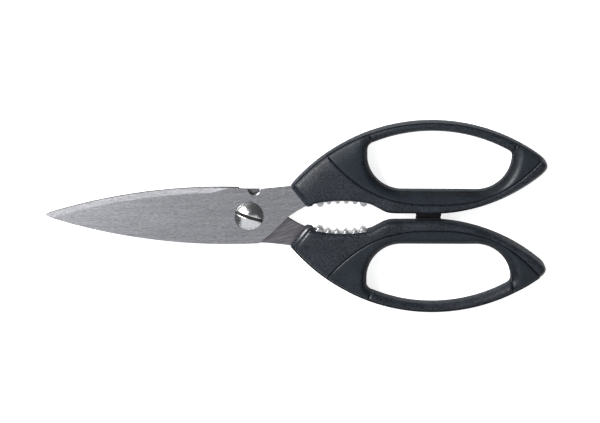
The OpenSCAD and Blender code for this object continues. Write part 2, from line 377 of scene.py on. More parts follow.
def handle_outline():
    """Outline of a handle, with its inside to the left."""
    tail_x = TAIL_C[0] - math.sqrt(TAIL_R ** 2 - (TAIL_C[1] - INNER_Y) ** 2)
    x = TAIL_TIP_X - TAIL_TIP_RUN
    low = np.array([x, TAIL_C[1] - math.sqrt(TAIL_R ** 2 - (x - TAIL_C[0]) ** 2)])
    high = np.array([x, OUTER_C[1] + math.sqrt(OUTER_R ** 2 - (x - OUTER_C[0]) ** 2)])
    low_slope = (x - TAIL_C[0]) / (TAIL_C[1] - low[1])
    high_slope = -(x - OUTER_C[0]) / (high[1] - OUTER_C[1])
    pull = TAIL_TIP_RUN / 0.75
    a, b = low + pull * np.array([1, low_slope]), high + pull * np.array([1, high_slope])
    t = np.linspace(0, 1, 40)[:, None]
    tip = (1 - t) ** 3 * low + 3 * t * (1 - t) ** 2 * a + 3 * t ** 2 * (1 - t) * b + t ** 3 * high
    tail_a0 = math.degrees(math.atan2(INNER_Y - TAIL_C[1], tail_x - TAIL_C[0]))
    tail_a1 = math.degrees(math.atan2(low[1] - TAIL_C[1], low[0] - TAIL_C[0]))
    loop = np.vstack([
        [BOLSTER_FOOT, (24.6, 4.3), LIP],
        arc(GAP_C, GAP_R, upper_angle(GAP_C, GAP_R, LIP[0]), upper_angle(GAP_C, GAP_R, GAP_END[0])),
        [BAR_BEND, BAR_START],
        arc(TAIL_C, TAIL_R, tail_a0, tail_a1),
        tip[1:-1],
        arc(OUTER_C, OUTER_R, upper_angle(OUTER_C, OUTER_R, x),
            upper_angle(OUTER_C, OUTER_R, BOLSTER_TOP[0])),
    ])
    loop = resample(loop, FINE_STEP, True)
    for corner, reach in ((BOLSTER_FOOT, 0.6), (LIP, 0.8), (GAP_END, 2.5),
                          (BAR_BEND, 1.5), (BAR_START, 1.5), (BOLSTER_TOP, 0.7)):
        loop = soften(loop, corner, reach)
    return resample(loop, STEP, True)


def hole_outline():
    """Outline of the finger hole, drawn so that the handle is to its left."""
    front_x = FRONT_CORNER[0] - FRONT_CORNER_R
    front_y = LOOP_C[1] + math.sqrt(LOOP_R ** 2 - (front_x - LOOP_C[0]) ** 2)

    # Where the rear corner's arc meets the loop's arc
    rear_angle = np.linspace(-45, 90, 2000)
    ring = np.column_stack([
        REAR_CORNER[0] + REAR_CORNER_R * np.cos(np.radians(rear_angle)),
        REAR_CORNER[1] + REAR_CORNER_R * np.sin(np.radians(rear_angle)),
    ])
    reach = np.linalg.norm(ring - np.array(LOOP_C), axis=1)
    last = rear_angle[np.argmax(reach > LOOP_R)]
    rear_x = REAR_CORNER[0] + REAR_CORNER_R * math.cos(math.radians(last))
    rear_y = REAR_CORNER[1] + REAR_CORNER_R * math.sin(math.radians(last))
    loop = np.vstack([
        arc(FRONT_CORNER, FRONT_CORNER_R, 180, 270),
        arc(REAR_CORNER, REAR_CORNER_R, 270, 360 + last),
        arc(LOOP_C, LOOP_R, upper_angle(LOOP_C, LOOP_R, rear_x), upper_angle(LOOP_C, LOOP_R, front_x)),
    ])
    loop = resample(loop, FINE_STEP, True)
    loop = soften(loop, (front_x, front_y), 2.2)
    loop = soften(loop, (rear_x, rear_y), 1.6)
    return resample(loop, STEP, True)[::-1]


def parting_line():
    """The line from the handle's outer edge, under the finger hole, to the tail."""
    x = np.linspace(*PART_X, 400)
    y = PART_LOW_Y + PART_RISE * (np.abs(x - PART_MID_X) / PART_HALF) ** PART_POWER
    return resample(np.vstack([PART_ENDS[:1], np.column_stack([x, y]), PART_ENDS[1:]]), STEP)


def grip_zone(line):
    """The soft grip's region: above a line along its lower edge, and outside the loop's arc."""
    return np.vstack([line, [SEAM_REAR[1], SEAM_REAR[0], REAR_CORNER, FRONT_CORNER,
                             SEAM_FRONT[0], SEAM_FRONT[1]]])


OUTLINE = handle_outline()
HOLE = hole_outline()
PARTING = parting_line()
GRIP_ZONE = grip_zone(PARTING)
LOOP_ZONE = np.array([SEAM_FRONT[1], SEAM_FRONT[0], FRONT_CORNER, REAR_CORNER,
                      SEAM_REAR[0], SEAM_REAR[1], (80, 60)])
SEAMS = [resample(np.array(s), STEP) for s in (SEAM_FRONT, SEAM_REAR)]


def split_outline():
    """The outline's runs: bolster end, grooved outer rim, and plain inner edge with the tail."""
    a, b = np.array(BOLSTER_TOP), np.array(BOLSTER_FOOT)
    to_bolster = gap_to(OUTLINE, np.array([a, b]))
    to_outer = np.abs(np.linalg.norm(OUTLINE - np.array(OUTER_C), axis=1) - OUTER_R)
    near_front = OUTLINE[:, 0] < BOLSTER_FOOT[0] + 0.3
    before_tail = OUTLINE[:, 0] < PART_X[1] - 0.1
    bolster = near_front & (to_bolster < to_outer) & (to_bolster < 0.4)
    outer = (to_outer < 0.5) & before_tail & ~bolster
    first = int(np.argmax(bolster & ~np.roll(bolster, 1)))
    loop = np.roll(OUTLINE, -first, axis=0)
    kind = np.roll(np.where(bolster, 0, np.where(outer, 1, 2)), -first)
    runs = []
    for k in (0, 1, 2):
        at = np.flatnonzero(kind == k)
        runs.append(loop[at.min():at.max() + 1])
    return runs


BOLSTER_RUN, OUTER_RUN, PLAIN_RUN = split_outline()

# Edge profiles: distance from the edge, and drop below the top face
GROOVED_RIM = [
    (0, 1.0), (0.05, 0.82), (0.14, 0.70), (0.28, 0.66), (0.36, 0.70), (0.40, 1.35), (0.68, 1.35),
]
HARD_RIM = np.array(GROOVED_RIM + [
    (0.72, 0.74), (0.82, 0.52), (0.97, 0.36), (1.17, 0.235), (1.42, 0.125), (1.75, 0.045),
    (2.2, 0.01), (2.6, 0),
]).T
SOFT_RIM = np.array(GROOVED_RIM + [
    (0.72, 0.50), (0.80, 0.28), (0.93, 0.12), (1.12, 0.04), (1.4, 0.01), (1.75, 0),
]).T
BOLSTER = np.array([
    (0, 3.2), (0.05, 2.3), (0.12, 1.70), (0.20, 1.46), (0.30, 1.37), (0.45, 1.30), (0.70, 1.21),
    (0.98, 1.12), (1.24, 1.035), (1.34, 1.03), (1.38, 1.6), (1.64, 1.6), (1.68, 0.80), (1.78, 0.50),
    (1.93, 0.32), (2.18, 0.17), (2.5, 0.05), (2.9, 0),
]).T
PLAIN = np.array([
    (0, 2.1), (0.05, 1.72), (0.16, 1.36), (0.34, 1.02), (0.58, 0.69), (0.88, 0.38), (1.25, 0.14),
    (1.7, 0.02), (2.1, 0),
]).T
ROLL = np.array([
    (0, 3.6), (0.04, 2.35), (0.10, 2.12), (0.35, 1.86), (0.70, 1.50), (1.05, 1.15), (1.35, 0.86),
    (1.6, 0.65), (1.8, 0.51), (2.0, 0.39), (2.25, 0.265), (2.5, 0.165), (2.8, 0.08), (3.1, 0.025),
    (3.4, 0),
]).T
RING = np.array([
    (0, 2.4), (0.05, 2.15), (0.16, 1.85), (0.36, 1.52), (0.65, 1.20), (1.0, 0.90), (1.4, 0.60),
    (1.8, 0.35), (2.2, 0.16), (2.6, 0.05), (3.0, 0),
]).T
PART_EDGE = np.array([(0, 0.60), (0.05, 0.40), (0.14, 0.25), (0.28, 0.13), (0.48, 0.04), (0.75, 0)]).T
SEAM_EDGE = np.array([
    (0, 1.3), (0.08, 1.2), (0.14, 0.62), (0.24, 0.46), (0.5, 0.33), (0.8, 0.19), (1.1, 0.07), (1.4, 0),
]).T

# Broad forms of the handle's faces: how far they drop, over what width, and between which x
CROWN, CROWN_W = 0.42, 6.5
SWELL, SWELL_W = 1.0, 9.0
SWELL_START_X, SWELL_END_X = 54, 38
ROLL_GROWTH = 0.42
ROLL_START_X, ROLL_FULL_X = 88, 106


def distances(p):
    """Distances from points to the handle's edges, in one dictionary."""
    d = {
        "bolster": gap_to(p, BOLSTER_RUN),
        "outer": gap_to(p, OUTER_RUN),
        "plain": gap_to(p, PLAIN_RUN),
        "hole": gap_to(p, HOLE, True),
        "part": gap_to(p, PARTING),
        "seam": np.minimum(gap_to(p, SEAMS[0]), gap_to(p, SEAMS[1])),
    }
    d["edge"] = np.minimum.reduce([d["bolster"], d["outer"], d["plain"], d["hole"]])
    return d


def crown(p, d):
    """Drop of the handle's broad faces toward their edges, more so along the front's outer edge."""
    fade = smooth((SWELL_START_X - p[:, 0]) / (SWELL_START_X - SWELL_END_X))
    swell = SWELL * (1 - np.clip(d["outer"] / SWELL_W, 0, 1)) ** 2 * fade
    return swell + CROWN * (1 - np.clip(d["edge"] / CROWN_W, 0, 1)) ** 2


def roll_size(x):
    """How much larger the grip's roll round the finger hole grows toward the tail."""
    return 1 + ROLL_GROWTH * smooth((x - ROLL_START_X) / (ROLL_FULL_X - ROLL_START_X))


def grip_base(p, d):
    """Drop of the grip's soft face, before its edges: it turns into the ring's form at a seam.
    The ring is the hard arc that closes the loop."""
    t = smooth(1 - d["seam"] / SEAM_BLEND)
    size = roll_size(p[:, 0])
    face = crown(p, d) + size * np.interp(d["hole"] / size, *ROLL)
    ring = LOOP_DROP + np.interp(d["hole"], *RING)
    return face * (1 - t) + ring * t


def grip_top(p):
    """Height of the soft grip's face."""
    d = distances(p)
    edges = np.maximum.reduce([
        np.interp(d["outer"], *SOFT_RIM),
        np.interp(d["plain"], *PLAIN),
        np.interp(d["part"] - GROOVE, *PART_EDGE),
        np.interp(d["seam"] - SEAM_GAP, *PART_EDGE),
    ])
    return HANDLE_T / 2 - grip_base(p, d) - edges


def hard_top(p):
    """Height of the hard moulding's face: open panel, the loop's arc, or core under the grip."""
    d = distances(p)
    in_loop = inside(p, LOOP_ZONE)
    in_grip = inside(p, GRIP_ZONE)
    core = in_grip & (d["part"] > ON_LINE) & (d["seam"] > ON_LINE)
    loop = in_loop & ~core | (d["seam"] <= ON_LINE)
    panel_drop = crown(p, d) + np.maximum.reduce([
        np.interp(d["outer"], *HARD_RIM),
        np.interp(d["bolster"], *BOLSTER),
        np.interp(d["plain"], *PLAIN),
        np.interp(d["part"], *PART_EDGE),
    ])
    loop_edges = np.maximum(np.interp(d["outer"], *HARD_RIM), np.interp(d["seam"], *SEAM_EDGE))
    loop_drop = LOOP_DROP + loop_edges + np.interp(d["hole"], *RING)
    core_drop = grip_base(p, d) + SKIN_T
    return HANDLE_T / 2 - np.where(core, core_drop, np.where(loop, loop_drop, panel_drop))


def worn_edges(p):
    """How close a point is to an edge that hands rub smooth. The whole bolster end is smooth."""
    d = distances(p)
    at_edge = np.exp(-d["edge"] / EDGE_WEAR)
    at_seam = np.exp(-np.minimum(d["part"], d["seam"]) / SEAM_WEAR)
    at_bolster = np.interp(d["bolster"], [BOLSTER_SMOOTH, BOLSTER_GRAINED], [1, 0])
    return np.maximum.reduce([at_edge, at_seam, at_bolster])


def in_handle(p):
    """Which points are in the handle's outline and outside its finger hole."""
    return inside(p, OUTLINE) & ~inside(p, HOLE)


def edge_rows():
    """The rows of points that the rounded and grooved edges need."""
    lines = rows(BOLSTER_RUN, BOLSTER[0][1:], OUTLINE)
    lines += rows(OUTER_RUN, HARD_RIM[0][1:], OUTLINE)
    lines += rows(PLAIN_RUN, PLAIN[0][1:], OUTLINE)
    size = roll_size(HOLE[:, 0])
    lines += rows(HOLE, [d * size for d in ROLL[0][1:]], HOLE, True)
    return lines


def hard_mesh():
    """The hard moulding, with its core under the soft grip."""
    skin_out = offset(OUTLINE, SKIN_T, True)
    skin_in = offset(HOLE, SKIN_T, True)

    def keep(p):
        grip = inside(p, GRIP_ZONE)
        core = inside(p, skin_out) & ~inside(p, skin_in)
        return in_handle(p) & (~grip | core)

    lines = edge_rows()
    lines += [offset(PARTING, -d) for d in (JUST_ACROSS, *PART_EDGE[0])]
    for seam, side in zip(SEAMS, (-1, 1)):
        lines += [offset(seam, side * d) for d in (JUST_ACROSS, *SEAM_EDGE[0])]
    return plate([OUTLINE, HOLE, skin_out, skin_in], lines, HANDLE_SPACING, keep, hard_top,
                 lambda p: -hard_top(p), worn_edges)


def grip_mesh():
    """The soft grip, as thick as the handle. The core is cut out of it later."""
    zone = grip_zone(offset(PARTING, GROOVE))

    def keep(p):
        near_seam = np.minimum(gap_to(p, SEAMS[0]), gap_to(p, SEAMS[1])) < SEAM_GAP
        return in_handle(p) & inside(p, zone) & ~near_seam

    lines = edge_rows()
    lines += [offset(PARTING, GROOVE + d) for d in PART_EDGE[0]]
    for seam, side in zip(SEAMS, (1, -1)):
        lines += [offset(seam, side * (SEAM_GAP + d)) for d in PART_EDGE[0]]
    return plate([OUTLINE, HOLE], lines, HANDLE_SPACING, keep, grip_top,
                 lambda p: -grip_top(p), worn_edges)


# ---------------------------------------------------------------- blades

def blade_loop(rear):
    """Outline of a blade with its shank and tang. The rear one has a stepped back and no notch."""
    top_c = (BELLY[0], BELLY[1] - EDGE_R)
    low_c = (BELLY[0], EDGE_R - BELLY[1])
    tip_y = BELLY[1] - EDGE_R + math.sqrt(EDGE_R ** 2 - (BLADE_TIP_X - BELLY[0]) ** 2)
    a_tip = math.degrees(math.atan2(tip_y - top_c[1], BLADE_TIP_X - top_c[0]))
    a_end = upper_angle(top_c, EDGE_R, EDGE_STEP_X)
    shank = TANG + [(17.8, 12.75), (13, 12.2), (7, 11.6)]
    if rear:
        low_x = EDGE_STEP_X
        shank = [(low_x + 0.15, -REAR_BACK_Y), (4.6, -REAR_BACK_Y), (8.4, -7.6), (12.5, -3.3),
                 (15.7, 0.5), (20.3, 3.3), (24.2, 5.1)] + shank
    else:
        low_x = BELLY[0] + 1
        shank = [(-2, -11.8), (4.2, -11.5), (9.2, -7.3), (13.4, -3.4), (16.4, -0.2),
                 (20.3, 2.5), (24.2, 4.6)] + shank
        shank += arc(NOTCH_C, NOTCH_R, 358, 182, 0.2).tolist()
    shank.append((EDGE_STEP_X + 0.3, 11.65))
    loop = np.vstack([
        arc(low_c, EDGE_R, -a_tip, -upper_angle(low_c, EDGE_R, low_x)),
        shank,
        arc(top_c, EDGE_R, a_end, a_tip),
    ])
    loop = resample(loop, 0.12, True)
    for corner, reach in (((BLADE_TIP_X, 0), 0.4), ((9.2, -7.3), 2.5), ((13.4, -3.4), 2.5),
                          ((20.3, 2.5), 2.0), ((17.8, 12.75), 1.5), ((13, 12.2), 2.5),
                          ((7, 11.6), 2.5)):
        on_outline = gap_to(np.array([corner]), loop, True)[0] < 0.3
        if on_outline:
            loop = soften(loop, corner, reach)
    return resample(loop, 0.4, True)


def blade_mesh(bore_r, rear):
    """A blade with its bevel, bore and tang holes. Its flat lower face is the one that slides."""
    loop = blade_loop(rear)
    holes = [arc((0, 0), bore_r, 0, 360, 0.3)[:-1]]
    holes += [arc(c, TANG_HOLE_R, 0, 360, 0.4)[:-1] for c in TANG_HOLES]
    on_edge = (loop[:, 1] > 0) & (loop[:, 0] < BEVEL_END_X) & (loop[:, 0] > BLADE_TIP_X + 0.1)
    first = int(np.argmax(on_edge & ~np.roll(on_edge, 1)))
    edge = np.roll(loop, -first, axis=0)[:on_edge.sum()]
    notch = arc(NOTCH_C, NOTCH_R, 0, -180, 0.25)
    thickness = BLADE_Z1 - BLADE_Z0
    slope = (thickness - EDGE_LAND) / BEVEL_W

    def bevel_width(x):
        return BEVEL_W * (1 - smooth((x - BEVEL_FADE_X) / (BEVEL_END_X - BEVEL_FADE_X)))

    def keep(p):
        good = inside(p, loop)
        for h in holes:
            good &= ~inside(p, h)
        return good

    def top(p):
        rim = gap_to(p, loop, True)
        for h in holes:
            rim = np.minimum(rim, gap_to(p, h, True))
        drop = np.interp(rim, *BROKEN_EDGE)
        if not rear:
            chamfer = np.interp(gap_to(p, notch), [0, NOTCH_CHAMFER[0]], [NOTCH_CHAMFER[1], 0])
            drop = np.maximum(drop, chamfer)
        ground = slope * (bevel_width(p[:, 0]) - gap_to(p, edge))
        return BLADE_Z1 - np.maximum(drop, ground)

    def bottom(p):
        rim = gap_to(p, loop, True)
        return BLADE_Z0 + np.interp(rim, [0, 0.08], [0.06, 0])

    lines = rows(loop, (0.05, 0.14, 0.3), loop, True)
    lines += [x for h in holes for x in rows(h[::-1], (0.05, 0.14, 0.3), h, True)]
    for part, beyond in ((0.25, 0), (0.5, 0), (0.75, 0), (1.0, 0), (1.0, 0.25)):
        # rows along the bevel, and one just beyond it
        width = part * bevel_width(edge[:, 0]) + beyond
        line = offset(edge, width[:, None])
        lines.append(line[(width > 0.2 + beyond) & (line[:, 0] > BLADE_TIP_X + 1.0)])
    if not rear:
        lines += [arc(NOTCH_C, NOTCH_R + NOTCH_CHAMFER[0] + d, -8, -172, 0.25) for d in (0, 0.2)]
    return plate([loop] + holes, lines, 2.2, keep, top, bottom)


# ---------------------------------------------------------------- pivot

def circle(r, step=0.3, c=(0, 0)):
    """A closed ring of points."""
    return arc(c, r, 0, 360, step)[:-1]


def screw_mesh():
    """Screw with a domed head and one slot, a plain shank, and a thread drawn as a plain cylinder."""
    lo, hi = cad("pivot_screw")
    head_r = (hi[0] - lo[0]) / 2
    head_z, crest = BLADE_Z1 + HEAD_GAP, hi[2] - MEET_Z
    foot = lo[2] - MEET_Z
    shank_r = SHANK_D / 2
    rise = crest - head_z
    dome_r = (head_r ** 2 + rise ** 2) / (2 * rise)
    slot_w, slot_depth, slot_angle = 1.1, 1.3, math.radians(-17.5)
    along = np.array([math.cos(slot_angle), math.sin(slot_angle)])
    across = np.array([-along[1], along[0]])

    def top(p):
        r = np.linalg.norm(p, axis=1)
        dome = crest - dome_r + np.sqrt(dome_r ** 2 - np.minimum(r, head_r) ** 2)
        dome -= np.interp(head_r - r, [0, 0.08, 0.25], [-0.16, -0.05, 0])
        s = np.abs(p @ across) - slot_w / 2
        lip = np.interp(s, [0.0, 0.05, 0.16, 0.3], [0.16, 0.08, 0.02, 0])
        return np.where(s < 0.005, np.minimum(dome, crest - slot_depth), dome - lip)

    # painted shade: the slot and the rim of the head are marked to be painted dark, and made rougher
    def slot_rim_shade_and_rough(p):
        in_slot = np.abs(p @ across) < slot_w / 2 + 0.005
        at_rim = np.linalg.norm(p, axis=1) > head_r - 0.1
        return (in_slot | at_rim).astype(float)

    def bottom(p):
        r = np.linalg.norm(p, axis=1)
        under_head = np.where(r < shank_r + SAME_R, -BLADE_Z1, head_z)
        return np.where(r < THREAD_R + SAME_R, foot, under_head)

    def keep(p):
        return np.linalg.norm(p, axis=1) < head_r - 0.002

    loop = circle(head_r)
    rings = [circle(r) for r in (head_r - 0.08, head_r - 0.25, 5.0, 4.2, shank_r + 0.03, shank_r,
                                 THREAD_R + 0.03, THREAD_R, 1.6, 0.8)]
    lines = []
    for s in (0, 0.02, 0.05, 0.16, 0.3):
        for side in (-1, 1):
            u = np.arange(-head_r - 0.5, head_r + 0.5, 0.3)[:, None]
            lines.append(u * along + side * (slot_w / 2 + s) * across)
    return plate([loop] + rings, lines, 0.5, keep, top, bottom, slot_rim_shade_and_rough)


def nut_mesh():
    """Round nut, closed underneath, with two spanner holes."""
    lo, hi = cad("pivot_nut")
    r_out, thickness = (hi[0] - lo[0]) / 2, hi[2] - lo[2]
    base = lo[2] - MEET_Z
    floor = 0.9
    chamfer, spanner_r, spanner_at, spanner_depth = 0.8, 0.8, 3.6, 0.6
    spots = [np.array([s * spanner_at, 0]) for s in (-1, 1)]

    def top(p):
        r = np.linalg.norm(p, axis=1)
        face = base + thickness - np.interp(r_out - r, [0, 0.12], [0.12, 0])
        return np.where(r < THREAD_R + SAME_R, base + floor, face)

    def bottom(p):
        r = np.linalg.norm(p, axis=1)
        face = base + np.interp(r_out - r, [0, chamfer], [chamfer, 0])
        for c in spots:
            in_hole = np.linalg.norm(p - c, axis=1) < spanner_r + SAME_R
            face = np.where(in_hole, base + spanner_depth, face)
        return face

    def keep(p):
        return np.linalg.norm(p, axis=1) < r_out - 0.002

    rings = [circle(r) for r in (r_out - 0.12, r_out - chamfer, THREAD_R + 0.03, THREAD_R)]
    rings += [circle(r, 0.2, c) for c in spots for r in (spanner_r, spanner_r + 0.03)]
    return plate([circle(r_out)] + rings, [], 0.7, keep, top, bottom)


def washer_mesh():
    """Spring washer, flat as it is when the nut is tight."""
    lo, hi = cad("spring_washer")
    r_out, r_in = (hi[0] - lo[0]) / 2, THREAD_R + SHANK_CLEARANCE
    z0, z1 = lo[2] - MEET_Z, hi[2] - MEET_Z

    def edge(p):
        r = np.linalg.norm(p, axis=1)
        return np.interp(np.minimum(r_out - r, r - r_in), [0, 0.04, 0.12], [0.12, 0.04, 0])

    def keep(p):
        r = np.linalg.norm(p, axis=1)
        return (r < r_out - 0.002) & (r > r_in + 0.002)

    rings = [circle(r) for r in (r_out - 0.04, r_out - 0.12, r_in + 0.12, r_in + 0.04)]
    return plate([circle(r_out), circle(r_in)] + rings, [], 0.8, keep,
                 lambda p: z1 - edge(p), lambda p: z0 + edge(p))


# ---------------------------------------------------------------- jaws and stop pads

def jaw_mesh():
    """Curved bar with half-round teeth, and a taller root that the handle grips."""
    lo, hi = cad("upper_jaw")
    root_h = (hi[2] - lo[2]) / 2
    face_h = root_h - 0.7
    depth, root_from, proud = 2.4, 1.2, 0.12
    teeth, pitch, mid_x, small_r, end_r, past_half = 6, 3.64, 38.9, 0.95, 1.5, 4
    a_left, a_right = (upper_angle(GAP_C, GAP_R, x) for x in (28, 50))
    front_r = GAP_R - proud
    front = [arc(GAP_C, front_r, a_left, a_left - 0.05, 0.2)]
    for i in range(teeth):
        x = mid_x + (i - (teeth - 1) / 2) * pitch
        r = end_r if i in (0, teeth - 1) else small_r
        a = upper_angle(GAP_C, GAP_R, x)
        c = (x, GAP_C[1] + math.sqrt(front_r ** 2 - (x - GAP_C[0]) ** 2))
        front.append(arc(c, r, a + 90 - past_half, a + 270 + past_half, 0.18))
    front.append(arc(GAP_C, front_r, a_right + 0.05, a_right, 0.2))
    loop = np.vstack(front + [arc(GAP_C, GAP_R + depth, a_right, a_left)])
    loop = resample(loop, 0.22, True)

    def height(p):
        rim = gap_to(p, loop, True)
        back = np.linalg.norm(p - np.array(GAP_C), axis=1) - GAP_R
        h = np.where(back > root_from + 0.01, root_h, face_h)
        return h - np.interp(rim, [0, 0.07, 0.2, 0.36], [0.36, 0.18, 0.05, 0])

    def keep(p):
        return inside(p, loop)

    lines = rows(loop, (0.07, 0.2, 0.36), loop, True)
    lines += [arc(GAP_C, GAP_R + root_from + s, a_left - 0.2, a_right + 0.2) for s in (0, 0.03)]
    return plate([loop], lines, 0.6, keep, height, lambda p: -height(p))


def pad_mesh():
    """Rubber block, rounded where it meets the other handle's."""
    lo, hi = cad("upper_stop_pad")
    half = (hi[2] - lo[2]) / 2
    block = [(lo[0], lo[1]), (hi[0], lo[1]), (hi[0], hi[1]), (lo[0], hi[1])]
    loop = resample(block, FINE_STEP, True)
    for corner in ((lo[0], lo[1]), (hi[0], lo[1])):
        loop = soften(loop, corner, 1.0)
    loop = resample(loop, 0.25, True)

    def height(p):
        return half - fillet(gap_to(p, loop, True), 0.5, 0.5)

    lines = rows(loop, (0.03, 0.1, 0.22, 0.5), loop, True)
    return plate([loop], lines, 0.6, lambda p: inside(p, loop), height, lambda p: -height(p))


# ---------------------------------------------------------------- materials

def node_material(name):
    """A material with its shader and a texture coordinate in the object's own space."""
    mat = bpy.data.materials.new(name)
    mat.use_nodes = True
    nodes, links = mat.node_tree.nodes, mat.node_tree.links
    shader = nodes["Principled BSDF"]
    place = nodes.new("ShaderNodeTexCoord").outputs["Object"]
    return mat, nodes, links, shader, place


def mapped(nodes, links, place, scale, angle=0.0):
    """The texture coordinate turned by an angle from X, then scaled along and across: per metre."""
    turn, stretch = nodes.new("ShaderNodeMapping"), nodes.new("ShaderNodeMapping")
    turn.inputs["Rotation"].default_value = (0, 0, math.radians(-angle))
    stretch.inputs["Scale"].default_value = scale
    links.new(place, turn.inputs["Vector"])
    links.new(turn.outputs["Vector"], stretch.inputs["Vector"])
    return stretch.outputs["Vector"]


def rgba(value):
    """A colour of three numbers, or a grey of one."""
    return (*value, 1) if isinstance(value, tuple) else (value, value, value, 1)


def feed(links, socket, value):
    """Sets a socket to a number, or links another node's output to it."""
    if isinstance(value, (int, float)):
        socket.default_value = value
    else:
        links.new(value, socket)


def calculate(nodes, links, operation, *values):
    """The result of one Math node."""
    made = nodes.new("ShaderNodeMath")
    made.operation = operation
    for socket, value in zip(made.inputs, values):
        feed(links, socket, value)
    return made.outputs[0]


def mark_of(nodes):
    """The value that plate() stored at each point: worn on a handle, painted shade and extra roughness
    in the screw's slot and at its rim, or 0.
    """
    made = nodes.new("ShaderNodeAttribute")
    made.attribute_name = "mark"
    return made.outputs["Fac"]


def noise(nodes, links, vector, scale, detail=3.0, rough=0.55):
    """Soft noise from 0 to 1."""
    tex = nodes.new("ShaderNodeTexNoise")
    tex.inputs["Scale"].default_value = scale
    tex.inputs["Detail"].default_value = detail
    tex.inputs["Roughness"].default_value = rough
    links.new(vector, tex.inputs["Vector"])
    return tex.outputs["Fac"]


def ramp(nodes, links, fac, low, high, start=0.3, end=0.7):
    """A colour or grey that goes from low to high as fac goes from start to end."""
    made = nodes.new("ShaderNodeValToRGB")
    made.color_ramp.elements[0].position = start
    made.color_ramp.elements[1].position = end
    made.color_ramp.elements[0].color = rgba(low)
    made.color_ramp.elements[1].color = rgba(high)
    links.new(fac, made.inputs["Fac"])
    return made.outputs["Color"]


def bump(nodes, links, height, distance, strength):
    """Relief as deep as distance, in metres, times strength."""
    made = nodes.new("ShaderNodeBump")
    made.inputs["Distance"].default_value = distance
    feed(links, made.inputs["Strength"], strength)
    links.new(height, made.inputs["Height"])
    return made.outputs["Normal"]


def mix(nodes, links, fac, a, b, blend="MIX"):
    """Colour a where fac is 0 and colour b where it is 1."""
    made = nodes.new("ShaderNodeMix")
    made.data_type, made.blend_type = "RGBA", blend
    feed(links, made.inputs["Factor"], fac)
    links.new(a, made.inputs["A"])
    links.new(b, made.inputs["B"])
    return made.outputs["Result"]


def side_wall(nodes, links, start=0.25, end=0.55, upright=1.0, flat=0.0):
    """One value on walls that stand upright in the part's own frame, another on faces that lie flat."""
    normal = nodes.new("ShaderNodeTexCoord").outputs["Normal"]
    split = nodes.new("ShaderNodeSeparateXYZ")
    links.new(normal, split.inputs["Vector"])
    upward = calculate(nodes, links, "ABSOLUTE", split.outputs["Z"])
    return ramp(nodes, links, upward, upright, flat, start, end)


def plain(nodes, value):
    """One colour or grey, to mix with others."""
    made = nodes.new("ShaderNodeRGB")
    made.outputs[0].default_value = rgba(value)
    return made.outputs[0]


# Upright walls are rough, and on steel they are dark, partly the oxide of a stamped edge and partly
# painted shade, so that they don't mirror the bright floor
WALL_ROUGHNESS = 0.95
STEEL_WALL_OXIDE_AND_SHADE = (0.03, 0.03, 0.033)

# How much an edge's roughness falls where it is worn
WORN_SMOOTHER = 0.24


def ground_steel(name, light, dark, roughness, along, angle=0.0):
    """Steel ground in one direction: fine lines, broad streaks and a few stray scratches.
    along is how often the lines change along their length, per metre."""
    mat, nodes, links, shader, place = node_material(name)
    lines = noise(nodes, links, mapped(nodes, links, place, (along, 3000, 3000), angle), 1.0, 3, 0.7)
    fine = noise(nodes, links, mapped(nodes, links, place, (90, 6500, 6500), angle), 1.0, 2, 0.6)
    streaks = noise(nodes, links, mapped(nodes, links, place, (45, 700, 700), angle + 2), 1.0, 2)
    scratches = noise(nodes, links, mapped(nodes, links, place, (60, 5200, 60), angle + 24), 1.0, 1)
    tone = mix(nodes, links, 0.22, ramp(nodes, links, lines, dark, light, 0.40, 0.60),
               ramp(nodes, links, streaks, dark, light, 0.38, 0.62))
    wall = side_wall(nodes, links)
    # upright walls take a dark tone: partly oxide, partly painted shade
    tone = mix(nodes, links, wall, tone, plain(nodes, STEEL_WALL_OXIDE_AND_SHADE))
    links.new(tone, shader.inputs["Base Color"])
    lined = ramp(nodes, links, fine, roughness - 0.07, roughness + 0.07, 0.35, 0.65)
    scratched = ramp(nodes, links, scratches, roughness - 0.1, roughness + 0.14, 0.62, 0.70)
    rough = mix(nodes, links, 0.35, lined, scratched)
    links.new(mix(nodes, links, wall, rough, plain(nodes, WALL_ROUGHNESS)), shader.inputs["Roughness"])
    links.new(side_wall(nodes, links, 0.25, 0.55, 0.0, 1.0), shader.inputs["Metallic"])
    links.new(bump(nodes, links, fine, 0.00001, 0.3), shader.inputs["Normal"])
    return mat


def polished_steel():
    """Buffed steel with faint hairlines; where marked, in the slot or at the rim, it is rougher and
    painted dark as shade.
    """
    mat, nodes, links, shader, place = node_material("polished_steel")
    slot_rim_shade_and_rough = mark_of(nodes)
    swirl = noise(nodes, links, place, 900, 3)
    hair = noise(nodes, links, mapped(nodes, links, place, (300, 3000, 300), 35), 1.0, 2)
    tone = ramp(nodes, links, swirl, (0.86, 0.86, 0.88), (0.97, 0.97, 0.98))
    # painted shade: marked slot and rim turn near black
    links.new(mix(nodes, links, slot_rim_shade_and_rough, tone, plain(nodes, 0.05)), shader.inputs["Base Color"])
    rough = ramp(nodes, links, hair, 0.17, 0.27, 0.35, 0.65)
    links.new(mix(nodes, links, slot_rim_shade_and_rough, rough, plain(nodes, 0.5)), shader.inputs["Roughness"])
    links.new(bump(nodes, links, hair, 0.00001, 0.15), shader.inputs["Normal"])
    shader.inputs["Metallic"].default_value = 1.0
    return mat


def spring_steel():
    """Plain steel with a fine grain."""
    mat, nodes, links, shader, place = node_material("spring_steel")
    grain = noise(nodes, links, place, 2500, 3)
    tone = ramp(nodes, links, grain, (0.30, 0.30, 0.32), (0.44, 0.44, 0.46))
    links.new(tone, shader.inputs["Base Color"])
    links.new(ramp(nodes, links, grain, 0.30, 0.45), shader.inputs["Roughness"])
    links.new(bump(nodes, links, grain, 0.00002, 0.3), shader.inputs["Normal"])
    shader.inputs["Metallic"].default_value = 1.0
    return mat


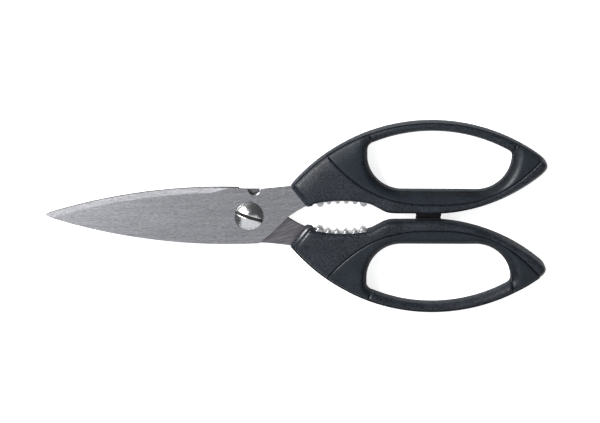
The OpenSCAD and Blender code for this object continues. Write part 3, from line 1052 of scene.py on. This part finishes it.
def moulded_plastic(name, dark, light, worn, roughness, grain_scale, grain_depth, gloss, painted_flank_shade):
    """Moulded plastic: an even grain, faint clouding, and edges that hands have rubbed smooth.
    Its last argument darkens the steep flanks: painted shade, where they turn away from the light."""
    mat, nodes, links, shader, place = node_material(name)
    wear = mark_of(nodes)
    grain = noise(nodes, links, place, grain_scale, 4, 0.65)
    clouds = noise(nodes, links, place, 90, 3)
    rubbed = noise(nodes, links, place, 700, 3)
    tone = mix(nodes, links, 0.3, ramp(nodes, links, grain, dark, light, 0.40, 0.60),
               ramp(nodes, links, clouds, dark, light))
    patches = ramp(nodes, links, rubbed, 0.0, 0.8, 0.35, 0.75)
    rub = calculate(nodes, links, "MULTIPLY", wear, patches)
    tone = mix(nodes, links, rub, tone, plain(nodes, worn))
    wall = side_wall(nodes, links)
    # painted shade: steep flanks are darkened by the last argument's factor, walls are left as they are
    flank_shade = side_wall(nodes, links, 0.62, 0.88, painted_flank_shade, 1.0)
    slope = mix(nodes, links, wall, flank_shade, plain(nodes, 1.0))
    links.new(mix(nodes, links, 1.0, tone, slope, "MULTIPLY"), shader.inputs["Base Color"])
    clouded = ramp(nodes, links, clouds, roughness - 0.04, roughness + 0.05)
    rough = calculate(nodes, links, "MULTIPLY_ADD", wear, -WORN_SMOOTHER, clouded)
    links.new(mix(nodes, links, wall, rough, plain(nodes, WALL_ROUGHNESS)), shader.inputs["Roughness"])
    unworn = ramp(nodes, links, wear, 0.5, 0.0, 0.2, 0.9)
    links.new(bump(nodes, links, grain, grain_depth, unworn), shader.inputs["Normal"])
    shader.inputs["Specular IOR Level"].default_value = gloss
    return mat


def cast_metal():
    """Bright cast metal, stained, with painted shade on the upright walls of the teeth."""
    mat, nodes, links, shader, place = node_material("jaw_metal")
    skin = noise(nodes, links, place, 1800, 4, 0.6)
    stains = noise(nodes, links, place, 350, 3)
    tone = mix(nodes, links, 0.5, ramp(nodes, links, skin, (0.50, 0.50, 0.51), (0.70, 0.70, 0.71)),
               ramp(nodes, links, stains, (0.45, 0.45, 0.46), (0.72, 0.72, 0.73)))
    # painted shade: upright walls of the teeth are painted dark, mottled by the stains
    dark = ramp(nodes, links, stains, (0.06, 0.06, 0.065), (0.24, 0.24, 0.25))
    links.new(mix(nodes, links, side_wall(nodes, links), tone, dark), shader.inputs["Base Color"])
    links.new(ramp(nodes, links, skin, 0.26, 0.42), shader.inputs["Roughness"])
    links.new(bump(nodes, links, skin, 0.00004, 0.35), shader.inputs["Normal"])
    shader.inputs["Metallic"].default_value = 1.0
    return mat


def pad_rubber():
    """Black matte rubber."""
    mat, nodes, links, shader, place = node_material("pad_rubber")
    grain = noise(nodes, links, place, 2200, 3)
    links.new(ramp(nodes, links, grain, (0.001, 0.001, 0.0015), (0.004, 0.004, 0.005)),
              shader.inputs["Base Color"])
    links.new(ramp(nodes, links, grain, 0.60, 0.78), shader.inputs["Roughness"])
    links.new(bump(nodes, links, grain, 0.00004, 0.4), shader.inputs["Normal"])
    shader.inputs["Specular IOR Level"].default_value = 0.2
    return mat


# ---------------------------------------------------------------- putting the pieces in place

FRONT = Matrix.Translation((0, 0, MEET_Z * MM))
REAR = FRONT @ Matrix.Rotation(math.pi, 4, "X")


def piece(name, mesh, where, material, node, body):
    """One visible piece: it stands for a CAD node and rides on that node's body."""
    mesh = mesh.copy()
    mesh.transform(where)
    mesh.name = name
    mesh.materials.clear()
    mesh.materials.append(material)
    finish_mesh(mesh)
    obj = bpy.data.objects.new(name, mesh)
    bpy.context.scene.collection.objects.link(obj)
    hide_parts(node)
    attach(obj, body)


def build_pieces():
    """All the pieces. The two arms differ only in their blades, and in the pockets that hold them."""
    front_steel = ground_steel("blade_steel_front", light=(0.49, 0.493, 0.52),
                               dark=(0.272, 0.274, 0.29), roughness=0.33, along=600)
    rear_steel = ground_steel("blade_steel_rear", light=(0.33, 0.31, 0.33), dark=(0.14, 0.13, 0.14),
                              roughness=0.36, along=150, angle=20)
    hard = moulded_plastic("hard_plastic", dark=(0.0005, 0.001, 0.003), light=(0.030, 0.037, 0.049),
                           worn=(0.032, 0.039, 0.051), roughness=0.41, grain_scale=1250,
                           grain_depth=0.00038, gloss=0.34, painted_flank_shade=1.0)
    soft = moulded_plastic("soft_grip", dark=(0.003, 0.006, 0.010), light=(0.024, 0.031, 0.041),
                           worn=(0.024, 0.031, 0.041), roughness=0.40, grain_scale=2000,
                           grain_depth=0.00008, gloss=0.30, painted_flank_shade=0.35)
    jaw_metal, rubber = cast_metal(), pad_rubber()
    polished, spring = polished_steel(), spring_steel()

    front = blade_mesh(SHANK_D / 2 + SHANK_CLEARANCE, False)
    rear = blade_mesh(SHANK_D / 2, True)
    jaw, pad = jaw_mesh(), pad_mesh()
    solid_handle = hard_mesh()
    grip = cut(grip_mesh(), [solid_handle])

    piece("front_blade_steel", front, FRONT, front_steel, "front_blade", "front_arm")
    piece("rear_blade_steel", rear, REAR, rear_steel, "rear_blade", "rear_arm")
    piece("pivot_screw_polished", screw_mesh(), FRONT, polished, "pivot_screw", "rear_arm")
    piece("pivot_nut_turned", nut_mesh(), FRONT, polished, "pivot_nut", "rear_arm")
    piece("spring_washer_ring", washer_mesh(), FRONT, spring, "spring_washer", "rear_arm")
    arms = (("upper", "front_arm", FRONT, front), ("lower", "rear_arm", REAR, rear))
    for side, arm, where, blade in arms:
        handle = cut(solid_handle, [blade, jaw, pad])
        piece(f"{side}_handle_moulding", handle, where, hard, f"{side}_handle", arm)
        piece(f"{side}_grip_skin", grip, where, soft, f"{side}_grip", arm)
        piece(f"{side}_jaw_bar", jaw, where, jaw_metal, f"{side}_jaw", arm)
        piece(f"{side}_stop_rubber", pad, where, rubber, f"{side}_stop_pad", arm)


# ---------------------------------------------------------------- studio

# The camera looks down, leaning toward +Y, at a point near the middle of the shears. Metres.
VIEW_TILT = math.radians(9.2)
VIEW_ROLL = 0.0044
VIEW_WIDTH = 0.252
VIEW_X_FROM_MIDDLE, VIEW_Y = 0.0017, 0.00173
LENS, SENSOR = 200.0, 36.0
FLOOR_REACH = 3.0
FLOOR_DROP = 0.0001


def studio():
    """Camera, pale floor and soft light."""
    scene = bpy.context.scene
    scene.view_settings.view_transform = "Standard"
    lo, hi = CAD_BOX
    target = Vector(((lo[0] + hi[0]) / 2 + VIEW_X_FROM_MIDDLE, VIEW_Y, (lo[2] + hi[2]) / 2))
    back = Vector((0, math.sin(VIEW_TILT), math.cos(VIEW_TILT)))
    up = Vector((0, math.cos(VIEW_TILT), -math.sin(VIEW_TILT)))
    turn = Matrix((Vector((1, 0, 0)), up, back)).transposed() @ Matrix.Rotation(VIEW_ROLL, 3, "Z")
    cam = bpy.data.cameras.new("camera")
    cam.lens, cam.sensor_width = LENS, SENSOR
    cam.clip_start, cam.clip_end = 0.05, 20
    holder = bpy.data.objects.new("camera", cam)
    holder.matrix_world = Matrix.Translation(target + back * VIEW_WIDTH * LENS / SENSOR) @ turn.to_4x4()
    scene.collection.objects.link(holder)
    scene.camera = holder

    mesh = bpy.data.meshes.new("floor")
    corners = [(x * FLOOR_REACH, y * FLOOR_REACH, 0) for x, y in ((-1, -1), (1, -1), (1, 1), (-1, 1))]
    mesh.from_pydata(corners, [], [(0, 1, 2, 3)])
    floor = bpy.data.objects.new("floor", mesh)
    scene.collection.objects.link(floor)
    floor.location.z = -FLOOR_DROP
    mat, nodes, links, shader, place = node_material("floor_paint")
    clouds = noise(nodes, links, place, 30, 2)
    links.new(ramp(nodes, links, clouds, 0.90, 0.94), shader.inputs["Base Color"])
    shader.inputs["Roughness"].default_value = 0.9
    shader.inputs["Specular IOR Level"].default_value = 0.0
    shader.inputs["Emission Color"].default_value = (1, 1, 1, 1)
    shader.inputs["Emission Strength"].default_value = 0.8
    mesh.materials.append(mat)

    world = bpy.data.worlds.new("studio")
    scene.world = world
    world.use_nodes = True
    sky = world.node_tree.nodes["Background"]
    sky.inputs["Color"].default_value = (0.95, 0.98, 1.0, 1)
    sky.inputs["Strength"].default_value = 0.06

    def softbox(name, azimuth, elevation, distance, size, radiance, tint=(1, 1, 1)):
        """A rectangular lamp aimed at the shears. Angles in degrees, azimuth 90 is toward +Y."""
        light = bpy.data.lights.new(name, "AREA")
        light.shape, light.size, light.size_y = "RECTANGLE", size[0], size[1]
        light.energy = radiance * math.pi * size[0] * size[1]
        light.color = tint
        a, e = math.radians(azimuth), math.radians(elevation)
        away = Vector((math.cos(a) * math.cos(e), math.sin(a) * math.cos(e), math.sin(e)))
        lamp = bpy.data.objects.new(name, light)
        lamp.location = target + away * distance
        lamp.rotation_mode = "QUATERNION"
        lamp.rotation_quaternion = away.to_track_quat("Z", "Y")
        lamp.visible_camera = False
        scene.collection.objects.link(lamp)

    softbox("key", 145, 43, 0.6, (0.23, 0.23), 25.0)
    softbox("soft_key", 158, 60, 0.38, (0.2, 0.2), 3.2)
    softbox("front_fill", -84, 46, 1.0, (2.2, 1.6), 0.62, (0.95, 0.975, 1.0))
    softbox("low_back", 104, 11, 1.0, (0.9, 0.26), 1.4)


build_pieces()
studio()
